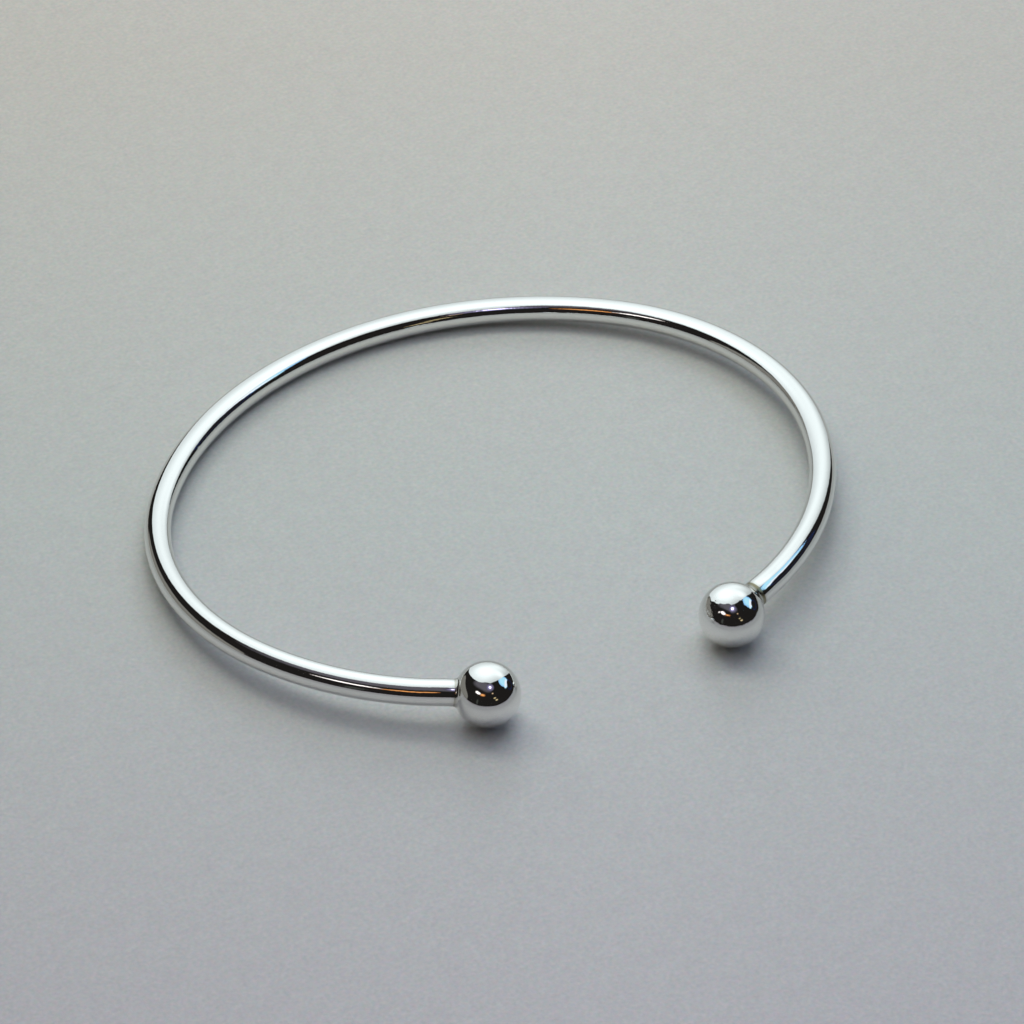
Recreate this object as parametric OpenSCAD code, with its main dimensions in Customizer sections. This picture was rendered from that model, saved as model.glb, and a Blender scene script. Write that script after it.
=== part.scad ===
// Torque bangle: one round silver wire bent to an open oval, with a ball soldered on each end.
// It lies flat as it would on a table: on both balls and on the middle of its back.
// The opening faces -Y, the long way of the oval runs along X, and Z = 0 is the table.

/* [Wire] */
// Thickness of the round wire
wire_d = 2.5; // [2:0.1:3.5]
// How much further the wire's skin lies out round the two sides, where they lap the other bends
lap_step = 0.005; // [0.004:0.001:0.01]
// Degrees by which each side laps the bends before and after it
lap_angle = 0.5; // [0.3:0.1:0.8]

/* [Oval] */
// Radius of the wire's centre line along the back
back_r = 35; // [32:0.5:38]
// Degrees that the back turns on each side of its middle
back_angle = 47.5; // [42:0.5:53]
// Radius of the wire's centre line round each side
side_r = 24.5; // [21:0.5:27]
// Degrees that each side turns
side_angle = 63; // [57:0.5:69]
// Radius of the wire's centre line along the two arms in front
arm_r = 30.5; // [28:0.5:34]

/* [Opening] */
// Distance along X from the centre of one ball to the centre of the other
ball_spacing = 24.5; // [18:0.5:30]
// Distance from the middle of the oval to the middle of the opening, towards -X
opening_shift = 4.5; // [0:0.5:6]

/* [Balls] */
// Diameter of both balls
ball_d = 6.1; // [5:0.1:8]
// How far below the wire's axis the balls' centres lie
ball_drop = 0.45; // [0.1:0.05:0.6]

/* [Solder] */
// Radius of the hollow fillet between the wire and the left ball
left_fillet_r = 0.5; // [0.3:0.1:1.3]
// Radius of the hollow fillet between the wire and the right ball
right_fillet_r = 1.1; // [0.4:0.1:1.3]
// Thickness of the solder where it runs out on the wire
solder_edge = 0.04; // [0.03:0.01:0.08]
// How far each fillet bites into its ball
solder_bite = 0.02; // [0.01:0.01:0.03]

/* [Hidden] */
$fn = 96;
wire_r = wire_d / 2;
ball_r = ball_d / 2;

// The oval is drawn as its right half, from the middle of the back at [0, 0], one tangent arc
// after another. A heading of h degrees lies h degrees clockwise of +Y, seen from the arc's centre.
function at(centre, r, h) = [centre[0] + r * sin(h), centre[1] + r * cos(h)];
side_end = back_angle + side_angle;
back_centre = [0, -back_r];
side_centre = at(back_centre, back_r - side_r, back_angle);
arm_centre = at(side_centre, side_r - arm_r, side_end);

// Each arm ends where its ball stands, at a distance of end_x to its own side of the oval's middle.
left_end_x = ball_spacing / 2 + opening_shift;
right_end_x = ball_spacing / 2 - opening_shift;
function arm_end(end_x) = 180 - asin((end_x - arm_centre[0]) / arm_r);
function end_depth(end_x) = -at(arm_centre, arm_r, arm_end(end_x))[1];

// The balls are thicker than the wire, so the whole oval leans up from its back to its balls.
mean_depth = (end_depth(left_end_x) + end_depth(right_end_x)) / 2;
lean = asin((ball_r + ball_drop - wire_r) / mean_depth);

// The solid runs from the back of the wire to the front of the nearer ball or of the wire.
front = max(end_depth(left_end_x), end_depth(right_end_x)) * cos(lean) + ball_r;
back_y = (front - wire_r) / 2;

// A point of the oval's own flat drawing, carried to its place above the table.
function place(p) = [p[0], back_y + p[1] * cos(lean), wire_r - p[1] * sin(lean)];
function ball_centre(end_x) = [end_x, back_y - end_depth(end_x) * cos(lean), ball_r];

// The point of the arm's axis that lies the given length of wire before the arm's end.
function before_end(end_x, length) =
    place(at(arm_centre, arm_r, arm_end(end_x) - length / arm_r * 180 / PI));

// A stretch of round wire, bent from one heading to another about a centre.
module bend(centre, r, from, to, skin_r) {
    translate([centre[0], centre[1], 0])
        rotate([0, 0, 90 - to])
            rotate_extrude(angle = to - from)
                translate([r, 0])
                    circle(skin_r);
}

// One side and arm of the oval, on the +X side, up to its own ball. The side laps its neighbours
// and is a hair thicker, so no two bends meet end to end.
module half(end_x) {
    bend(side_centre, side_r, back_angle - lap_angle, side_end + lap_angle, wire_r + lap_step);
    bend(arm_centre, arm_r, side_end, arm_end(end_x), wire_r);
}

// The solder that fills the corner between the wire and a ball. Its hollow is part of a ring whose
// section touches the wire's skin and bites a little into the ball.
module solder(end_x, fillet_r) {
    neck_r = wire_r + solder_edge;
    reach = ball_r + fillet_r - solder_bite;
    length = sqrt(pow(reach, 2) - pow(neck_r + fillet_r, 2));
    centre = ball_centre(end_x);
    way = before_end(end_x, length) - centre;
    translate(centre)
        rotate([0, acos(way[2] / norm(way)), atan2(way[1], way[0])])
            difference() {
                cylinder(h = length, r = (neck_r + fillet_r) * ball_r / reach);
                translate([0, 0, length])
                    rotate_extrude()
                        translate([neck_r + fillet_r, 0])
                            circle(fillet_r);
            }
}

// A ball and its solder, on the +X side.
module tip(end_x, fillet_r) {
    translate(ball_centre(end_x)) sphere(ball_r);
    solder(end_x, fillet_r);
}

module bangle() {
    color("silver") union() {
        translate([0, back_y, wire_r]) rotate([-lean, 0, 0]) {
            bend(back_centre, back_r, -back_angle, back_angle, wire_r);
            half(right_end_x);
            mirror([1, 0, 0]) half(left_end_x);
        }
        tip(right_end_x, right_fillet_r);
        mirror([1, 0, 0]) tip(left_end_x, left_fillet_r);
    }
}

bangle();
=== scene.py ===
# %% [markdown]
# # A torque bangle in polished silver
# The real bangle is one round silver wire, bent to an open oval, with a ball soldered on each end.
# There is almost nothing to it but its curve and its polish, so the lesson is about two things: a
# surface worked out so smoothly that a mirror finish doesn't betray its facets, and a room that is
# worth reflecting. Everything is in metres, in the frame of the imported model.

# %% Load the frame
import bpy
import numpy as np
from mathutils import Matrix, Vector


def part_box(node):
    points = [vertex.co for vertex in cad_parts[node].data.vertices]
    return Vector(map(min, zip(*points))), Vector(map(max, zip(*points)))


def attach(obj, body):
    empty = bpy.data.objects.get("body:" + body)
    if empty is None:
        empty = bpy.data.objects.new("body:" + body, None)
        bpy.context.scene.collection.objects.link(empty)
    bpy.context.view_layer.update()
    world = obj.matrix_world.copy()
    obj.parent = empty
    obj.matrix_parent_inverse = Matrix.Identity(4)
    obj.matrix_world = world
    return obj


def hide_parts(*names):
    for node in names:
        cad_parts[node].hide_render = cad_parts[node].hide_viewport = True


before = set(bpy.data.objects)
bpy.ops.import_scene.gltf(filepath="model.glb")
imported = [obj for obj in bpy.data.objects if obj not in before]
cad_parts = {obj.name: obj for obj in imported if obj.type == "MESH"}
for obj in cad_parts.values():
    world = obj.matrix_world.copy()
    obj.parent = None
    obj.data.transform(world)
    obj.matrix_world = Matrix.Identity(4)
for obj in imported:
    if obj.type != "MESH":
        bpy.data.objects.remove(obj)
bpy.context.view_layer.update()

MM = 0.001
low, high = (np.array(corner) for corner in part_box("bangle"))
print("the bangle's box in mm:", ((high - low) / MM).round(2))

# %% [markdown]
# ## The wire's path
# A jeweller bends such a wire round a few formers, so its centre line is a chain of arcs that meet
# without a corner: a wide one along the back, a tight one round each side and a middling one along
# each arm. A spline through points would only come near that. Here each arc is written exactly, as
# a centre, a radius and a turn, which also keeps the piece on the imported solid.

# %% The oval's arcs
WIRE_R = 1.25 * MM
BACK_R, BACK_ANGLE = 35 * MM, np.radians(47.5)
SIDE_R, SIDE_ANGLE = 24.5 * MM, np.radians(63)
ARM_R = 30.5 * MM
BALL_SPACING, OPENING_SHIFT = 24.5 * MM, 4.5 * MM
# The balls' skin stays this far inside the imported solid's.
HAIR = 0.02 * MM
BALL_R = high[2] / 2 - HAIR
BALL_DROP = 0.45 * MM
back_y = high[1] - WIRE_R


def ray(heading):
    """The unit vector that lies heading radians clockwise of +Y, as one row for each heading."""
    return np.stack([np.sin(heading), np.cos(heading)], -1)


def arc_centres():
    """Centres of the three arcs, each on the line through the last centre and the point they share."""
    back = np.array([0.0, -BACK_R])
    side = back + (BACK_R - SIDE_R) * ray(BACK_ANGLE)
    arm = side + (SIDE_R - ARM_R) * ray(BACK_ANGLE + SIDE_ANGLE)
    return back, side, arm


def half_oval(end_x, spacing):
    """The flat centre line from the middle of the back to the end that lies end_x to the side.

    Each arc is centre + radius * ray(heading), with its headings spacing apart along the wire.
    """
    centres = arc_centres()
    radii = BACK_R, SIDE_R, ARM_R
    last = np.pi - np.arcsin((end_x - centres[2][0]) / ARM_R)
    turns = np.cumsum([0, BACK_ANGLE, SIDE_ANGLE, last - BACK_ANGLE - SIDE_ANGLE])
    rows = []
    for centre, radius, start, stop in zip(centres, radii, turns[:-1], turns[1:]):
        count = int((stop - start) * radius / spacing)
        heading = np.linspace(start, stop, count, endpoint=False)
        rows.append(centre + radius * ray(heading))
    rows.append(centres[2] + ARM_R * ray(np.array([last])))
    return np.concatenate(rows)


RING_SPACING = 0.28 * MM
left_end_x = BALL_SPACING / 2 + OPENING_SHIFT
right_end_x = BALL_SPACING / 2 - OPENING_SHIFT
left_half = half_oval(left_end_x, RING_SPACING) * [-1, 1]
right_half = half_oval(right_end_x, RING_SPACING)
flat = np.concatenate([left_half[::-1], right_half[1:]])

# %% [markdown]
# The balls are thicker than the wire, so at rest the oval leans: its back lies on the table and its
# two ends ride up on the balls. The lean follows from the heights at both ends, as it does in life.

# %% Lean the oval up on its balls
mean_depth = -(flat[0, 1] + flat[-1, 1]) / 2
lean = np.arcsin((BALL_R + BALL_DROP - WIRE_R) / mean_depth)
path = np.stack([
    flat[:, 0],
    back_y + flat[:, 1] * np.cos(lean),
    WIRE_R - flat[:, 1] * np.sin(lean)], -1)
length = np.concatenate([[0], np.cumsum(np.linalg.norm(np.diff(path, axis=0), axis=1))])
print("lean", round(float(np.degrees(lean)), 2), "degrees, wire", round(length[-1] / MM, 1), "mm long")

# %% [markdown]
# ## Balls and solder
# Solder runs into the corner between wire and ball and draws itself into a hollow fillet, so the
# wire flares just before it meets the ball. A boolean of a tube and a sphere would leave a crease
# there. Instead the whole bangle is one profile carried along one path: the wire's radius, then the
# fillet's, then the ball's, until the last ring closes to a point. The right fillet is the fuller
# one, and the solder's stain shows more in it.

# %% Path and radius at one tip
RINGS_FILLET, RINGS_BALL, RINGS_EASE = 24, 70, 14
# How much stain shows at five places from the wire to the ball, and what part of it on the left
SOLDER_STAIN = (0, 0.05, 0.3, 0.6, 0.86), (0.25, 0.9, 0.95, 0.45, 0)
LEFT_STAIN = 0.55
EASE = 3 * MM


def tip(centre, wire, reach_back, fillet_r):
    """Ring centres and radii from the wire to the far pole of a ball.

    Along the line from the ball's centre to the wire, at a distance z: the fillet is a circle of
    fillet_r that touches both wire and ball, so r = (w + f) - sqrt(f^2 - (s - z)^2), where s is the
    distance at which it leaves the wire, and the ball is r = sqrt(R^2 - z^2). The wire's last
    stretch eases onto that line by a cubic that keeps both directions.
    """
    s = np.sqrt((BALL_R + fillet_r) ** 2 - (WIRE_R + fillet_r) ** 2)
    joint = wire[np.searchsorted(reach_back, s)]
    way = (joint - centre) / np.linalg.norm(joint - centre)
    start = np.searchsorted(reach_back, s + EASE)
    p0, p1 = wire[start], centre + s * way
    d0 = wire[start - 1] - wire[start + 1]
    d0 *= EASE / np.linalg.norm(d0)
    d1 = -way * EASE
    t = np.linspace(0, 1, RINGS_EASE, endpoint=False)[:, None]
    ease = ((2 * t**3 - 3 * t**2 + 1) * p0 + (t**3 - 2 * t**2 + t) * d0
            + (3 * t**2 - 2 * t**3) * p1 + (t**3 - t**2) * d1)
    turn = np.arccos((WIRE_R + fillet_r) / (BALL_R + fillet_r))
    a = np.linspace(0, turn, RINGS_FILLET, endpoint=False)
    b = np.linspace(np.pi / 2 - turn, np.pi, RINGS_BALL)
    z = np.concatenate([s - fillet_r * np.sin(a), BALL_R * np.cos(b)])
    r = np.concatenate([WIRE_R + fillet_r * (1 - np.cos(a)), BALL_R * np.sin(b)])
    centres = np.concatenate([ease, centre + z[:, None] * way])
    radii = np.concatenate([np.full(RINGS_EASE, WIRE_R), r])
    stain = np.interp(np.linspace(0, 1, RINGS_FILLET), SOLDER_STAIN[0], SOLDER_STAIN[1])
    solder = np.concatenate([np.zeros(RINGS_EASE), stain, np.zeros(RINGS_BALL)])
    return start, centres, radii, solder, way


LEFT_FILLET_R, RIGHT_FILLET_R = 0.5 * MM, 1.1 * MM
left_ball = np.array([path[0, 0], path[0, 1], BALL_R])
right_ball = np.array([path[-1, 0], path[-1, 1], BALL_R])
left_tip = tip(left_ball, path, length, LEFT_FILLET_R)
right_tip = tip(right_ball, path[::-1], length[-1] - length[::-1], RIGHT_FILLET_R)
wire = path[left_tip[0] + 1:len(path) - right_tip[0] - 1]
centres = np.concatenate([left_tip[1][::-1], wire, right_tip[1]])
radii = np.concatenate([left_tip[2][::-1], np.full(len(wire), WIRE_R), right_tip[2]])
solder = np.concatenate([left_tip[3][::-1] * LEFT_STAIN, np.zeros(len(wire)), right_tip[3]])
print("rings", len(centres), "fillets", LEFT_FILLET_R / MM, RIGHT_FILLET_R / MM, "mm")

# %% [markdown]
# Each ring stands square to the path. Along the wire its direction comes from its neighbours. On the
# ball they pile up towards the pole, so there the direction is that of the ball's own straight line.

# %% Carry the ring along the path
AROUND = 72


def directions(points, left_way, right_way, left_rings, right_rings):
    """Unit tangents: differences of neighbours along the wire, and the tip's own line on each tip."""
    t = np.gradient(points, axis=0)
    t[:left_rings] = left_way
    t[len(points) - right_rings:] = -right_way
    return t / np.linalg.norm(t, axis=1)[:, None]


def swept(points, tangents, radii, around):
    """Points of the skin: p + r (cos a * side + sin a * over), with side level and over square to it."""
    side = np.cross(tangents, [0, 0, 1.0])
    side /= np.linalg.norm(side, axis=1)[:, None]
    over = np.cross(side, tangents)
    a = np.linspace(0, 2 * np.pi, around, endpoint=False)[None, :, None]
    ring = np.cos(a) * side[:, None] + np.sin(a) * over[:, None]
    return points[:, None] + radii[:, None, None] * ring


def grid_faces(rows, around):
    """Quads between neighbouring rings of a closed tube, as one array of corner numbers."""
    i = np.arange(rows - 1)[:, None] * around
    j = np.arange(around)[None, :]
    k = (j + 1) % around
    return np.stack([i + j, i + around + j, i + around + k, i + k], -1).reshape(-1, 4)


on_ball = RINGS_FILLET + RINGS_BALL
tangents = directions(centres, left_tip[4], right_tip[4], on_ball, on_ball)
skin = swept(centres, tangents, radii, AROUND)
body = skin[1:-1]
rows = len(body)
vertices = np.concatenate([body.reshape(-1, 3), centres[:1], centres[-1:]])
ring = np.arange(AROUND)
first_pole, last_pole = rows * AROUND, rows * AROUND + 1
caps = [[int(first_pole), int(m), int(n)] for m, n in zip(ring, np.roll(ring, -1))]
far = (rows - 1) * AROUND
caps += [[int(last_pole), int(far + n), int(far + m)] for m, n in zip(ring, np.roll(ring, -1))]
faces = grid_faces(rows, AROUND).tolist() + caps
print("skin:", len(vertices), "vertices,", len(faces), "faces")

# %% [markdown]
# The skin also carries three values that the finish reads: how much solder shows, how worn the
# polish is, and a drawn-out coordinate in which a round speck becomes a hairline along the wire,
# because a polishing cloth is pulled along a wire and not across it. The right ball is more worn
# than the left one, and most of all in one scuffed spot on its side.

# %% Make the mesh
WIRE_WEAR, LEFT_BALL_WEAR, RIGHT_BALL_WEAR = 0.12, 0.08, 0.22
SCUFF_WEAR, SCUFF_REACH = 2.2, 0.28
# From the right ball's centre, in its own radii
SCUFF_AT = np.array([-0.85, 0.03, 0.53])
HAIRLINE_STRETCH = 14
mesh = bpy.data.meshes.new("bangle_skin")
mesh.from_pydata(vertices.tolist(), [], faces)
mesh.update()
mesh.shade_smooth()


def keep_in_mesh(name, kind, field, ring_values, pole_values):
    """Stores one value for each vertex, from those of the rings and of the two poles."""
    values = np.concatenate([ring_values.reshape(rows * AROUND, -1), pole_values])
    attribute = mesh.attributes.new(name, kind, "POINT")
    attribute.data.foreach_set(field, values.astype(np.float32).ravel())


keep_in_mesh("solder", "FLOAT", "value", np.repeat(solder[1:-1], AROUND), np.zeros((2, 1)))
wear = np.full(len(centres), WIRE_WEAR)
wear[:RINGS_BALL] = LEFT_BALL_WEAR
wear[-RINGS_BALL:] = RIGHT_BALL_WEAR
scuff_centre = right_ball + BALL_R * SCUFF_AT
away_from_scuff = np.linalg.norm(body - scuff_centre, axis=2) / (SCUFF_REACH * BALL_R)
skin_wear = wear[1:-1, None] + SCUFF_WEAR * np.exp(-away_from_scuff**2)
keep_in_mesh("wear", "FLOAT", "value", skin_wear, wear[[0, -1], None])
step = np.hypot(np.linalg.norm(np.diff(centres, axis=0), axis=1), np.diff(radii))
drawn = np.concatenate([[0], np.cumsum(step)]) / HAIRLINE_STRETCH
a = np.linspace(0, 2 * np.pi, AROUND, endpoint=False)
polish = np.stack(np.broadcast_arrays(
    drawn[:, None], radii[:, None] * np.cos(a), radii[:, None] * np.sin(a)), -1) / MM
ends = np.array([[drawn[0], 0, 0], [drawn[-1], 0, 0]]) / MM
keep_in_mesh("polish", "FLOAT_VECTOR", "vector", polish[1:-1], ends)
bangle = bpy.data.objects.new("bangle_skin", mesh)
bpy.context.collection.objects.link(bangle)
volume = sum(p.area * p.normal.dot(p.center) for p in mesh.polygons) / 3
print("volume in mm3, positive when the faces point out:", round(volume / MM**3, 1))

# %% [markdown]
# ## Short words for node trees
# A finish is a tree of nodes. These functions make a node and feed it in one line, so the cells
# below read as what they do to the surface.

# %% Helpers for node trees
MIX_SOCKETS = {"FLOAT": (2, 3, 0), "RGBA": (6, 7, 2)}


def feed(socket, value):
    """Links another node's output to a socket, or sets the socket to a plain value."""
    if isinstance(value, bpy.types.NodeSocket):
        socket.id_data.links.new(value, socket)
    else:
        socket.default_value = value


def node(tree, kind, *inputs, **values):
    """A new node, its first inputs fed in order and the rest of it set by name."""
    made = tree.nodes.new(kind)
    for socket, value in zip(made.inputs, inputs):
        feed(socket, value)
    for name, value in values.items():
        if hasattr(made, name):
            setattr(made, name, value)
        else:
            feed(made.inputs[name.replace("_", " ")], value)
    return made


def noise(tree, scale, detail, where):
    """A cloudy pattern: a number round 0.5 for each point, and a colour of three such numbers."""
    return node(tree, "ShaderNodeTexNoise", Scale=scale, Detail=detail, Vector=where)


def remap(tree, value, from_min, from_max, to_min, to_max):
    """A value carried from one range to another, and held at the ends."""
    made = node(tree, "ShaderNodeMapRange", value, from_min, from_max, to_min, to_max)
    return made.outputs["Result"]


def arithmetic(tree, operation, *numbers):
    """A sum, product or power of numbers that differ from point to point."""
    return node(tree, "ShaderNodeMath", *numbers, operation=operation).outputs["Value"]


def mix(tree, kind, factor, a, b):
    """Numbers or colours: a where the factor is 0 and b where it is 1."""
    made = node(tree, "ShaderNodeMix", factor, data_type=kind)
    first, second, result = MIX_SOCKETS[kind]
    feed(made.inputs[first], a)
    feed(made.inputs[second], b)
    return made.outputs[result]


def material(name):
    """A new material, its tree and its shader."""
    made = bpy.data.materials.new(name)
    made.use_nodes = True
    return made, made.node_tree, made.node_tree.nodes["Principled BSDF"]


# %% [markdown]
# ## Polished silver
# Silver is a mirror with a faint warmth. What makes it look worn and not drawn by a computer is
# small: hairlines left by the polishing cloth, a skin that is a few thousandths of a millimetre out
# of true, and a little brown in the solder, where no cloth reaches.
# The colour is the same all over, apart from the solder, where it goes over to the tarnish.

# %% The silver material
SILVER = (0.93, 0.915, 0.89, 1)
TARNISH = (0.24, 0.205, 0.11, 1)
silver, tree, shader = material("polished_silver")
shader.inputs["Metallic"].default_value = 1
place = node(tree, "ShaderNodeTexCoord").outputs["Object"]
stained = node(tree, "ShaderNodeAttribute", attribute_name="solder").outputs["Fac"]
used = node(tree, "ShaderNodeAttribute", attribute_name="wear").outputs["Fac"]
drawn_out = node(tree, "ShaderNodeAttribute", attribute_name="polish").outputs["Vector"]
feed(shader.inputs["Base Color"], mix(tree, "RGBA", stained, SILVER, TARNISH))

# %% [markdown]
# Roughness comes first from a soft haze. On top of it, wear adds a speckle: the ball that gets
# knocked most is duller, in patches of a few tenths of a millimetre. The solder is matt.

# %% How rough it is
# A noise has a fineness and a number of finer layers; a range is the part of it that counts.
HAZE, HAZE_RANGE, HAZE_ROUGH = (900, 3), (0.35, 0.75), (0.03, 0.065)
SPECKLE, SPECKLE_RANGE, SPECKLE_ROUGH = (2600, 3), (0.45, 0.7), (0, 0.09)
SOLDER_ROUGH = 0.3
haze = noise(tree, *HAZE, place).outputs["Fac"]
soft_polish = remap(tree, haze, *HAZE_RANGE, *HAZE_ROUGH)
speckle = noise(tree, *SPECKLE, place).outputs["Fac"]
dulled = remap(tree, speckle, *SPECKLE_RANGE, *SPECKLE_ROUGH)
worn = arithmetic(tree, "MULTIPLY_ADD", dulled, used, soft_polish)
feed(shader.inputs["Roughness"], mix(tree, "FLOAT", stained, worn, SOLDER_ROUGH))

# %% [markdown]
# The relief is far too small to feel. A slow wave bends the reflected edges a little, as on any
# wire that was bent and rubbed by hand. Hairlines run along it, the worn ball has fine dimples,
# and a few nicks lie where it was knocked: the middles of the cells of a Voronoi pattern, of
# which only those of a high random value are cut.

# %% Its relief
WAVE, WAVE_DEPTH = (160, 1), 0.004 * MM
HAIRLINE, HAIRLINE_DEPTH = (9, 2), 0.0006 * MM
DIMPLE, DIMPLE_DEPTH = (1700, 2), 0.05 * MM
NICK_SCALE, NICK_DEPTH = 420, 0.014 * MM
NICK_REACH, NICK_CHANCE = 0.13, 0.2


def relief(height, depth, before=None):
    """A bump of a given depth, laid over an earlier one."""
    made = node(tree, "ShaderNodeBump", Strength=1, Distance=depth, Height=height)
    if before:
        feed(made.inputs["Normal"], before)
    return made.outputs["Normal"]


wave = noise(tree, *WAVE, place).outputs["Fac"]
waved = relief(wave, WAVE_DEPTH)
hairline = noise(tree, *HAIRLINE, drawn_out).outputs["Fac"]
lined = relief(hairline, HAIRLINE_DEPTH, waved)
dimple = noise(tree, *DIMPLE, place).outputs["Fac"]
dimpled = relief(arithmetic(tree, "MULTIPLY", dimple, used), DIMPLE_DEPTH, lined)
cells = node(tree, "ShaderNodeTexVoronoi", Scale=NICK_SCALE, Vector=place)
pit = remap(tree, cells.outputs["Distance"], 0, NICK_REACH, 1, 0)
chance = node(tree, "ShaderNodeSeparateColor", cells.outputs["Color"]).outputs["Red"]
knocked = arithmetic(tree, "GREATER_THAN", chance, 1 - NICK_CHANCE)
nick = arithmetic(tree, "MULTIPLY", pit, knocked)
feed(shader.inputs["Normal"], relief(nick, -NICK_DEPTH, dimpled))
mesh.materials.append(silver)

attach(bangle, "root")
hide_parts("bangle")
print("silver:", len(tree.nodes), "nodes")

# %% [markdown]
# ## Camera
# The photograph was taken with a long lens from about half a metre, looking down at 39 degrees from
# the front left. A long lens is a narrow angle, so the far wire looks nearly as thick as the near one.

# %% Camera
AZIMUTH, ELEVATION = np.radians(-33.77), np.radians(39.33)
DISTANCE = 515.3 * MM
AIM = np.array([1.41, -0.57, 0]) * MM
FOCAL_PIXELS, FRAME_PIXELS = 5500, 1024
FILM_WIDTH, NEAREST_SEEN = 36, 10 * MM
AWAY = np.array([-np.sin(AZIMUTH), np.cos(AZIMUTH), 0])
ASIDE = np.array([np.cos(AZIMUTH), np.sin(AZIMUTH), 0])
UP = np.array([0, 0, 1.0])
lens = bpy.data.cameras.new("camera")
lens.sensor_width = FILM_WIDTH
lens.lens = FOCAL_PIXELS / FRAME_PIXELS * lens.sensor_width
lens.clip_start = NEAREST_SEEN
camera = bpy.data.objects.new("camera", lens)
bpy.context.collection.objects.link(camera)
toward = np.sin(ELEVATION) * UP - np.cos(ELEVATION) * AWAY
camera.location = AIM + DISTANCE * toward
camera.rotation_euler = Vector(-toward).to_track_quat("-Z", "Y").to_euler()
bpy.context.scene.camera = camera
print("camera at", [round(float(x), 3) for x in camera.location], "lens", round(lens.lens, 1), "mm")

# %% [markdown]
# ## Paper floor
# The bangle lies on a sheet of matt grey-white paper. It fills the lower half of every reflection
# and takes the soft shadows. It is part of the set and isn't a piece of the model.

# %% Floor
FLOOR_HALF = 3.0


def set_piece(name, points, faces):
    """A mesh that belongs to the set and not to the bangle."""
    made = bpy.data.meshes.new(name)
    made.from_pydata(points, [], faces)
    placed = bpy.data.objects.new(name, made)
    bpy.context.collection.objects.link(placed)
    return placed


corners = [(-FLOOR_HALF, -FLOOR_HALF, 0), (FLOOR_HALF, -FLOOR_HALF, 0),
           (FLOOR_HALF, FLOOR_HALF, 0), (-FLOOR_HALF, FLOOR_HALF, 0)]
floor = set_piece("floor", corners, [(0, 1, 2, 3)])

# %% [markdown]
# Real paper is not quite smooth, and a mottle of three sizes, the paper's own grain, breaks it up.
# Its colour here also carries painted light and shade: it goes from a warm grey at the back to a
# violet one in front and is a little darker at both sides.

# %% The paper's tones, with painted light and shade
PAPER_TONE_AND_PAINTED_LIGHT = (
    # how far from front to back, colour with painted light and its tint
    (0.0, (0.572, 0.548, 0.595, 1)),
    (0.5, (0.528, 0.545, 0.543, 1)),
    (1.0, (0.515, 0.490, 0.465, 1)),
)
PAPER_PAINTED_SIDE_SHADE = (
    # how far from left to right, brightness of the painted light
    (0.0, (0.93, 0.93, 0.93, 1)),
    (0.6, (1.0, 1.0, 1.0, 1)),
    (1.0, (0.975, 0.975, 0.975, 1)),
)
PAPER_REACH, PAPER_HALF_WIDTH = 75 * MM, 48 * MM
# Fineness and strength of each
PAPER_MOTTLE = (450, 0.018), (1100, 0.02), (2600, 0.045)
MOTTLE_LAYERS = 3
NOISE_LOW, NOISE_HIGH = 0.3, 0.7
paper, tree, shader = material("paper")
place = node(tree, "ShaderNodeTexCoord").outputs["Object"]


def ramp(tree, value, stops):
    """The colour that belongs to a value, between stops of a position and a colour."""
    made = node(tree, "ShaderNodeValToRGB", value)
    elements = made.color_ramp.elements
    for number, (position, colour) in enumerate(stops):
        stop = elements[number] if number < 2 else elements.new(position)
        stop.position = position
        stop.color = colour
    return made.outputs["Color"]


def ramp_along(way, reach, stops):
    """A colour that depends on how far a point lies one way, from -reach to +reach."""
    distance = node(tree, "ShaderNodeVectorMath", place, way, operation="DOT_PRODUCT")
    return ramp(tree, remap(tree, distance.outputs["Value"], -reach, reach, 0, 1), stops)


def times(colour, factor):
    """A colour times another one, channel by channel."""
    return node(tree, "ShaderNodeVectorMath", colour, factor, operation="MULTIPLY").outputs["Vector"]


def scaled(colour, number):
    """A colour times one number."""
    return node(tree, "ShaderNodeVectorMath", colour, operation="SCALE", Scale=number).outputs["Vector"]


# Painted light and shade: these ramps darken and tint the paper by where it lies on the floor.
paper_tone_and_painted_light = times(ramp_along(AWAY, PAPER_REACH, PAPER_TONE_AND_PAINTED_LIGHT),
              ramp_along(ASIDE, PAPER_HALF_WIDTH, PAPER_PAINTED_SIDE_SHADE))
for scale, strength in PAPER_MOTTLE:
    cloud = noise(tree, scale, MOTTLE_LAYERS, place).outputs["Fac"]
    paper_tone_and_painted_light = scaled(paper_tone_and_painted_light, remap(tree, cloud, NOISE_LOW, NOISE_HIGH, 1 - strength, 1 + strength))

# %% [markdown]
# Coloured flecks come from the three channels of a noise's colour, each of which shifts one of red,
# green and blue. The fibres are a bump, a few hundredths of a millimetre deep.

# %% Flecks and fibres
FLECK, FLECK_TINT = (2200, 2), (0.065, 0.035, 0.035)
FIBRE, FIBRE_DEPTH, FIBRE_STRENGTH = (2200, 4), 0.03 * MM, 0.6
# Where a Map Range node keeps its sockets for vectors
VECTOR, FROM_MIN, FROM_MAX, TO_MIN, TO_MAX = 6, 7, 8, 9, 10
shift = node(tree, "ShaderNodeMapRange", data_type="FLOAT_VECTOR")
feed(shift.inputs[VECTOR], noise(tree, *FLECK, place).outputs["Color"])
feed(shift.inputs[FROM_MIN], [NOISE_LOW] * 3)
feed(shift.inputs[FROM_MAX], [NOISE_HIGH] * 3)
feed(shift.inputs[TO_MIN], [1 - value for value in FLECK_TINT])
feed(shift.inputs[TO_MAX], [1 + value for value in FLECK_TINT])
flecked_tone_and_painted_light = times(paper_tone_and_painted_light, shift.outputs["Vector"])
fibres = noise(tree, *FIBRE, place).outputs["Fac"]
fuzz = node(tree, "ShaderNodeBump", Strength=FIBRE_STRENGTH, Distance=FIBRE_DEPTH, Height=fibres)
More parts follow.
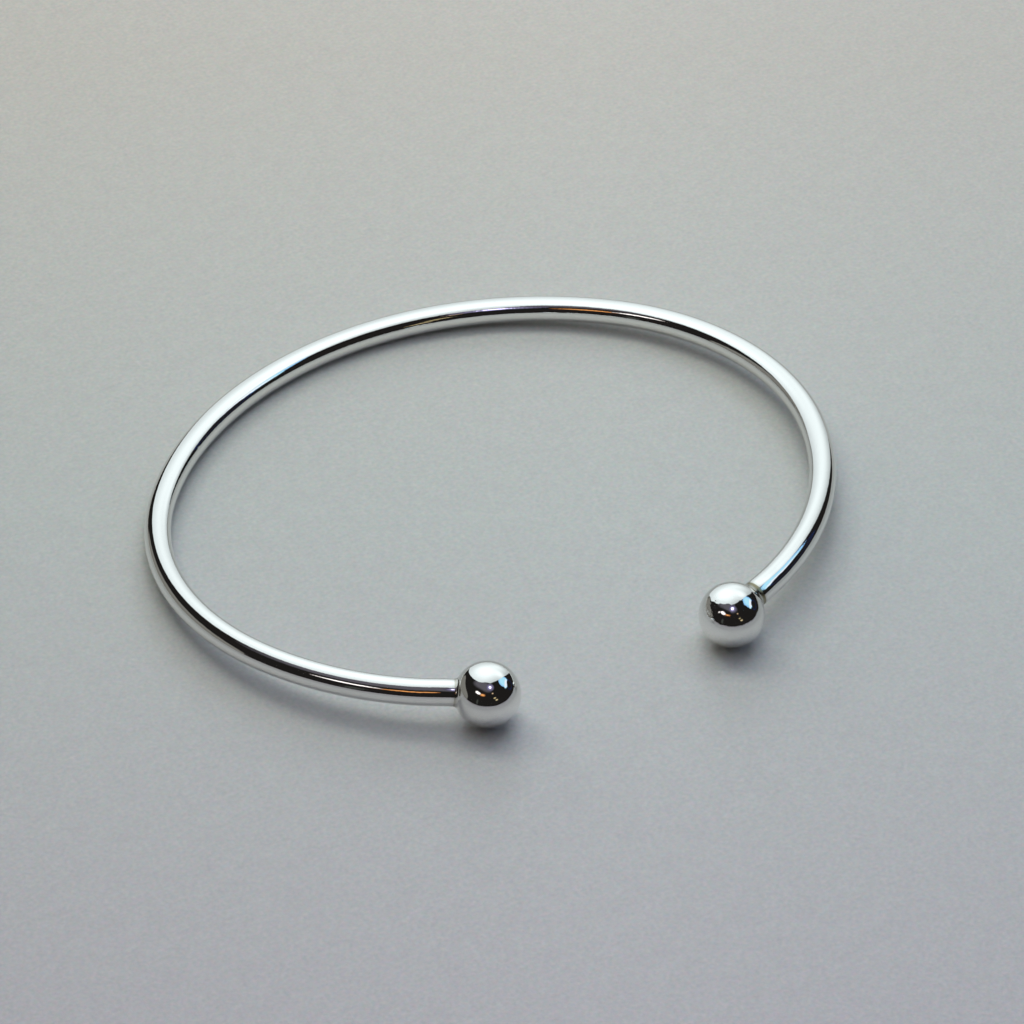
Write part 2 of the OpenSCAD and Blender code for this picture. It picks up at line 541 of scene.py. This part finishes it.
feed(shader.inputs["Normal"], fuzz.outputs["Normal"])

# %% [markdown]
# With the light behind, real paper throws more of it on towards the viewer than back. The silver
# looks at the paper from the other side, so the further off a spot lies, the darker silver shows it.
# That shade is painted: for rays from the silver the paper's colour is darkened.

# %% The paper as silver shows it
PAPER_ROUGH, PAPER_SHINE = 0.9, 0.1
# Near and far: how bright the painted shade leaves the paper in silver, and from how far off
PAPER_IN_SILVER = 0.95, 0.70
SILVER_REACH = 3.5 * MM, 17 * MM
light_ray = node(tree, "ShaderNodeLightPath")
# Painted shade: the paper's colour is darkened for rays from the silver, the more the further off.
painted_shade_by_distance = remap(tree, light_ray.outputs["Ray Length"], *SILVER_REACH, *PAPER_IN_SILVER)
painted_shade_in_silver = mix(tree, "FLOAT", light_ray.outputs["Is Glossy Ray"], 1, painted_shade_by_distance)
feed(shader.inputs["Base Color"], scaled(flecked_tone_and_painted_light, painted_shade_in_silver))
shader.inputs["Roughness"].default_value = PAPER_ROUGH
shader.inputs["Specular IOR Level"].default_value = PAPER_SHINE
floor.data.materials.append(paper)
print("paper:", len(tree.nodes), "nodes")

# %% [markdown]
# ## A sheet of light
# A mirror shows the room, so the room is the look. Both balls show the same one: a sheet of white
# that stands close behind the bangle on the left, further off on the right, and curls over the top
# until just past straight up. The camera's own side is nearly dark. Because the sheet is as near as
# a hand's breadth, its edge has to be at its true distance, or the black band along the wire would
# start and end in the wrong places. So it is a real surface, ruled between two curved edges.

# %% The sheet behind and above
LEFT_EDGE = np.array([[-45, 122, -22], [-135, -55, 140], [-20, -58, 238]]) * MM
RIGHT_EDGE = np.array([[160, 218, -2], [108, -15, 132], [17, -50, 110]]) * MM


def edge_curve(corners, t):
    """A quadratic curve: (1-t)^2 a + 2t(1-t) b + t^2 c, in steps to the side, away and up."""
    t = t[:, None]
    steps = (1 - t)**2 * corners[0] + 2 * t * (1 - t) * corners[1] + t**2 * corners[2]
    return steps @ np.stack([ASIDE, AWAY, UP])


def sheet_between(left, right, across, along):
    """A ruled surface: each row runs straight from a point of one edge to its partner."""
    t = np.linspace(0, 1, along)
    u = np.linspace(0, 1, across)[None, :, None]
    a, b = edge_curve(left, t), edge_curve(right, t)
    return (1 - u) * a[:, None] + u * b[:, None]


def silver_only(name, points, faces):
    """A glowing mesh of the set that only the silver sees."""
    light = set_piece(name, points, faces)
    light.visible_camera = False
    light.visible_diffuse = False
    light.visible_shadow = False
    return light


def heading(aside, above):
    """Unit vector at an angle to the right of straight away from the camera, and one above level."""
    a, e = np.radians(aside), np.radians(above)
    return np.cos(e) * (np.cos(a) * AWAY + np.sin(a) * ASIDE) + np.sin(e) * UP


ACROSS, ALONG = 8, 16
sheet = sheet_between(LEFT_EDGE, RIGHT_EDGE, ACROSS, ALONG)
quads = [(r * ACROSS + c, r * ACROSS + c + 1, (r + 1) * ACROSS + c + 1, (r + 1) * ACROSS + c)
         for r in range(ALONG - 1) for c in range(ACROSS - 1)]
light_sheet = silver_only("light_sheet", sheet.reshape(-1, 3).tolist(), quads)
light_sheet.data.shade_smooth()
print("sheet of light:", len(quads), "faces, up to", round(float(sheet[..., 2].max()) / MM), "mm")

# %% [markdown]
# Lamps shine onto the sheet from outside. Two light nearly all of it, and two make smaller pools on
# the right. Each adds its strength times a power of the cosine of the angle from its middle, so the
# pools run into one another without an edge. The white is a cool one, as in the photo.

# %% How bright the sheet is
SHEET_TINT = (0.895, 1.0, 1.03, 1)
SHEET_EVEN_LIGHT = 0.265
POOLS = (
    # aside, above, strength, tightness
    (-29, 18, 0.48, 1),
    (-1, 75, 0.77, 3.4),
    (27, 23, 0.32, 21),
    (63, 47, 0.40, 28),
)


def emptied(owner):
    """The node tree of a material or a world, with nothing in it."""
    owner.use_nodes = True
    owner.node_tree.nodes.clear()
    return owner.node_tree


def glowing(name, **shine):
    """A material that only shines, its tree and the shader that shines."""
    made = bpy.data.materials.new(name)
    tree = emptied(made)
    light = node(tree, "ShaderNodeEmission", **shine)
    node(tree, "ShaderNodeOutputMaterial", light.outputs["Emission"])
    return made, tree, light


glow, tree, light = glowing("sheet_glow", Color=SHEET_TINT)
place = node(tree, "ShaderNodeTexCoord").outputs["Object"]
way = node(tree, "ShaderNodeVectorMath", place, operation="NORMALIZE").outputs["Vector"]
level = SHEET_EVEN_LIGHT
for aside, above, strength, tightness in POOLS:
    cosine = node(tree, "ShaderNodeVectorMath", way, heading(aside, above), operation="DOT_PRODUCT")
    lit_side = arithmetic(tree, "MAXIMUM", cosine.outputs["Value"], 0)
    pool = arithmetic(tree, "POWER", lit_side, tightness)
    level = arithmetic(tree, "MULTIPLY_ADD", pool, strength, level)
feed(light.inputs["Strength"], level)
light_sheet.data.materials.append(glow)

# %% [markdown]
# A small lamp hangs in front of the sheet, near enough that the two balls see it in different
# places. It is a disc, white in the middle with a violet bloom round it.

# %% The lamp in front
LAMP_AT = (np.array([22, -89, 133]) @ np.stack([ASIDE, AWAY, UP])) * MM
LAMP_R, LAMP_CORNERS = 34 * MM, 32
LAMP_STRENGTH, LAMP_TINT = 3.0, (0.66, 0.62, 1.0)
# How far from the middle, brightness
LAMP_LEVELS = (0.0, 1.0), (0.26, 0.8), (0.36, 0.2), (0.55, 0.10), (0.8, 0.055), (1.0, 0.038)


def facing(centre):
    """Two unit vectors square to each other and to the line from the bangle: level, and steep."""
    level_way = np.cross(UP, centre)
    level_way /= np.linalg.norm(level_way)
    steep_way = np.cross(centre, level_way)
    return level_way, steep_way / np.linalg.norm(steep_way)


level_way, steep_way = facing(LAMP_AT)
turn = np.linspace(0, 2 * np.pi, LAMP_CORNERS, endpoint=False)[:, None]
rim = LAMP_AT + LAMP_R * (np.cos(turn) * level_way + np.sin(turn) * steep_way)
lamp = silver_only("lamp", rim.tolist(), [list(range(LAMP_CORNERS))])
glow, tree, light = glowing("lamp_glow", Strength=LAMP_STRENGTH)
place = node(tree, "ShaderNodeTexCoord").outputs["Object"]
distance = node(tree, "ShaderNodeVectorMath", place, LAMP_AT, operation="DISTANCE").outputs["Value"]
levels = [(position, (*(level * np.array(LAMP_TINT)), 1)) for position, level in LAMP_LEVELS]
feed(light.inputs["Color"], ramp(tree, arithmetic(tree, "DIVIDE", distance, LAMP_R), levels))
lamp.data.materials.append(glow)
print("lamp", round(float(np.linalg.norm(LAMP_AT)) / MM), "mm from the bangle's middle")

# %% [markdown]
# ## Soft boxes for the paper
# A sheet this near would light the paper far more at its foot than on the viewer's side. It is there
# for the silver alone, and the paper has soft boxes of its own, further off and mostly behind the
# bangle. Their shadows fall towards the viewer, wide and pale, and are dark only where the metal
# comes down to the paper. The silver, in turn, doesn't see the boxes.

# %% Soft boxes
PLAIN, SUNNY, SKY = (1, 1, 1), (0.97, 1, 0.85), (0.9, 1, 1.1)
WARM, COOL = (1, 0.75, 0.5), (0.45, 0.65, 1)
BOXES = (
    # aside, away, up, radius in mm, power in W, colour
    (0, 380, 80, 80, 0.14, PLAIN),
    (-220, 250, 120, 80, 0.15, SUNNY),
    (220, 250, 120, 80, 0.05, SKY),
    (0, 320, 200, 100, 0.33, SKY),
    (-150, 150, 300, 80, 0.28, SUNNY),
    (0, 150, 350, 80, 0.21, SUNNY),
    (150, 150, 300, 80, 0.17, SKY),
    (0, 0, 400, 130, 0.29, SKY),
    (-280, 0, 180, 80, 0.03, WARM),
    (280, 0, 180, 80, 0.07, COOL),
    (0, -150, 300, 80, 0.07, PLAIN),
)
for number, (aside, away, up, radius, power, colour) in enumerate(BOXES):
    box = bpy.data.lights.new(f"soft_box_{number}", "AREA")
    box.shape = "DISK"
    box.size = 2 * radius * MM
    box.energy = power
    box.color = colour
    box_object = bpy.data.objects.new(box.name, box)
    bpy.context.collection.objects.link(box_object)
    hung = (np.array([aside, away, up]) @ np.stack([ASIDE, AWAY, UP])) * MM
    box_object.location = hung
    box_object.rotation_euler = Vector(hung).to_track_quat("Z", "Y").to_euler()
    box_object.visible_glossy = False
    box_object.visible_camera = False
print("soft boxes:", len(BOXES))

# %% [markdown]
# ## Cards in a dark room
# The rest of the room is far enough off to hang up as glowing cards, as a studio photographer does:
# a dim ceiling, a window, a warm strip of light and a few small lamps. Each card is a rounded
# outline in degrees as the bangle sees it, with its colours kept in the mesh. Later cards in the
# list hang nearer and cover the ones behind them.

# %% Cards
DARK = (0.0127, 0.0117, 0.0113)
WINDOW_FRAME = (0.010, 0.04, 0.16)
WINDOW_TOP = (0.25, 0.52, 0.92)
WINDOW_SKY = (0.44, 0.84, 1.05)
CARDS = (
    # aside, above, width, height, soft, colour, rim
    (-140, 67, 62, 27, 0.30, (0.105, 0.10, 0.12), DARK),
    (76, 38.5, 30, 30, 0.06, WINDOW_FRAME, DARK),
    (76, 39, 28, 27, 0.25, WINDOW_SKY, WINDOW_TOP),
    (79, 30.5, 24, 9, 0.30, (0.88, 0.95, 1.05), WINDOW_SKY),
    (74, 18, 24, 17, 0.12, DARK, (0.010, 0.025, 0.12)),
    (-160, 37, 14, 6, 0.5, (0.95, 0.42, 0.14), (0.10, 0.03, 0.01)),
    (-139, 38.5, 17, 7, 0.3, (1.6, 1.55, 1.55), (0.10, 0.07, 0.06)),
    (156, 41, 5, 3.5, 0.5, (0.80, 0.58, 0.36), DARK),
    (152, 25, 7, 3.5, 0.5, (0.75, 0.62, 0.33), DARK),
    (147, 17, 7, 3.5, 0.5, (0.75, 0.62, 0.36), DARK),
    (-147, 11, 6, 15, 0.3, (0.05, 0.055, 0.05), DARK),
    (-77, 4, 68, 29, 0.04, (0.19, 0.19, 0.175), DARK),
)

# %% [markdown]
# One mesh holds all the cards. Each has a middle point, an inner ring in its own colour and an outer
# ring in its rim's, so the one fades into the other.

# %% Hang the cards
CARD_RIM, CARD_SQUARENESS = 24, 2.6
CARD_DISTANCE, CARD_STEP = 1.5, 0.02
CARD_POINTS = 1 + 2 * CARD_RIM


def card(aside, above, width, height, soft, distance):
    """Centre, inner and outer ring: |x|^p + |y|^p = 1 stretched to the card's half sizes."""
    centre = heading(aside, above)
    level_way, steep_way = facing(centre)
    a = np.linspace(0, 2 * np.pi, CARD_RIM, endpoint=False)
    x = np.sign(np.cos(a)) * np.abs(np.cos(a)) ** (2 / CARD_SQUARENESS)
    y = np.sign(np.sin(a)) * np.abs(np.sin(a)) ** (2 / CARD_SQUARENESS)
    ring = (x * np.tan(np.radians(width / 2)))[:, None] * level_way
    ring = ring + (y * np.tan(np.radians(height / 2)))[:, None] * steep_way
    return distance * np.concatenate([
        centre[None], centre + (1 - soft) * ring, centre + (1 + soft) * ring])


points, faces, colours = [], [], []
for number, (aside, above, width, height, soft, inner, rim) in enumerate(CARDS):
    first = number * CARD_POINTS
    points.append(card(aside, above, width, height, soft, CARD_DISTANCE - number * CARD_STEP))
    colours.append(np.array([inner] * (1 + CARD_RIM) + [rim] * CARD_RIM))
    for k in range(CARD_RIM):
        j, m = first + 1 + k, first + 1 + (k + 1) % CARD_RIM
        faces += [(first, j, m), (j, j + CARD_RIM, m + CARD_RIM, m)]
cards = silver_only("room_cards", np.concatenate(points).tolist(), faces)
shade = cards.data.attributes.new("shade", "FLOAT_VECTOR", "POINT")
shade.data.foreach_set("vector", np.concatenate(colours).astype(np.float32).ravel())
glow, tree, light = glowing("card_glow")
tint = node(tree, "ShaderNodeAttribute", attribute_name="shade").outputs["Vector"]
feed(light.inputs["Color"], tint)
glow.cycles.emission_sampling = "NONE"
cards.data.materials.append(glow)
print("cards:", len(CARDS), "with", len(faces), "faces")

# %% [markdown]
# The walls of the room throw back a little light of their own. It comes from all sides, so it
# fills the darkest part of the shadows. In the silver the walls are nearly black, and the camera
# sees a plain grey behind the paper's far edge.

# %% World
ROOM_GLOW = (0.068, 0.065, 0.062, 1)
BACKDROP = (0.50, 0.51, 0.50, 1)
world = bpy.data.worlds.new("room")
bpy.context.scene.world = world
tree = emptied(world)
light_ray = node(tree, "ShaderNodeLightPath")
lit = mix(tree, "RGBA", light_ray.outputs["Is Diffuse Ray"], (*DARK, 1), ROOM_GLOW)
shown = mix(tree, "RGBA", light_ray.outputs["Is Camera Ray"], lit, BACKDROP)
background = node(tree, "ShaderNodeBackground", shown)
node(tree, "ShaderNodeOutputWorld", background.outputs["Background"])
bpy.context.scene.view_settings.view_transform = "Standard"
